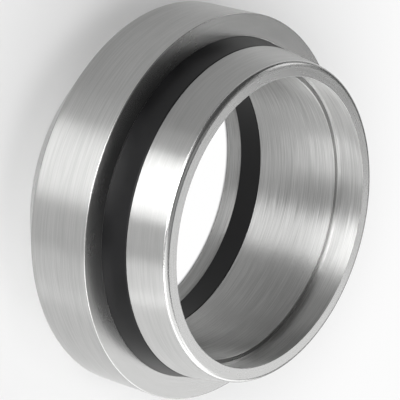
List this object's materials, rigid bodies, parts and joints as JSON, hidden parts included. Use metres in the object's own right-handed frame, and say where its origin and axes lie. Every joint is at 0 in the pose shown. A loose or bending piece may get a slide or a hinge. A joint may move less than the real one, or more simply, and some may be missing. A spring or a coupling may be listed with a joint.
{
  "type": "cutting ring",
  "caption": "Soft-seal cutting ring for a 24 degree cone tube fitting: a steel ring with cutting edges and a steel stop collar, joined by a bonded elastomer seal.",
  "frame": {"origin": "on the bore's axis, in the plane of the collar's flat rear face", "axes": "+Z along the bore, from the rear face to the cutting edge"},
  "size_m": [0.0218, 0.0218, 0.0101],
  "materials": {
    "collar_steel": "turned and plated, satin",
    "elastomer": "moulded, satin",
    "cutting_steel": "turned and plated, satin"
  },
  "bodies": {
    "root": {"stop_collar": "collar_steel", "seal_ring": "elastomer", "cutting_ring": "cutting_steel"}
  },
  "joints": []
}
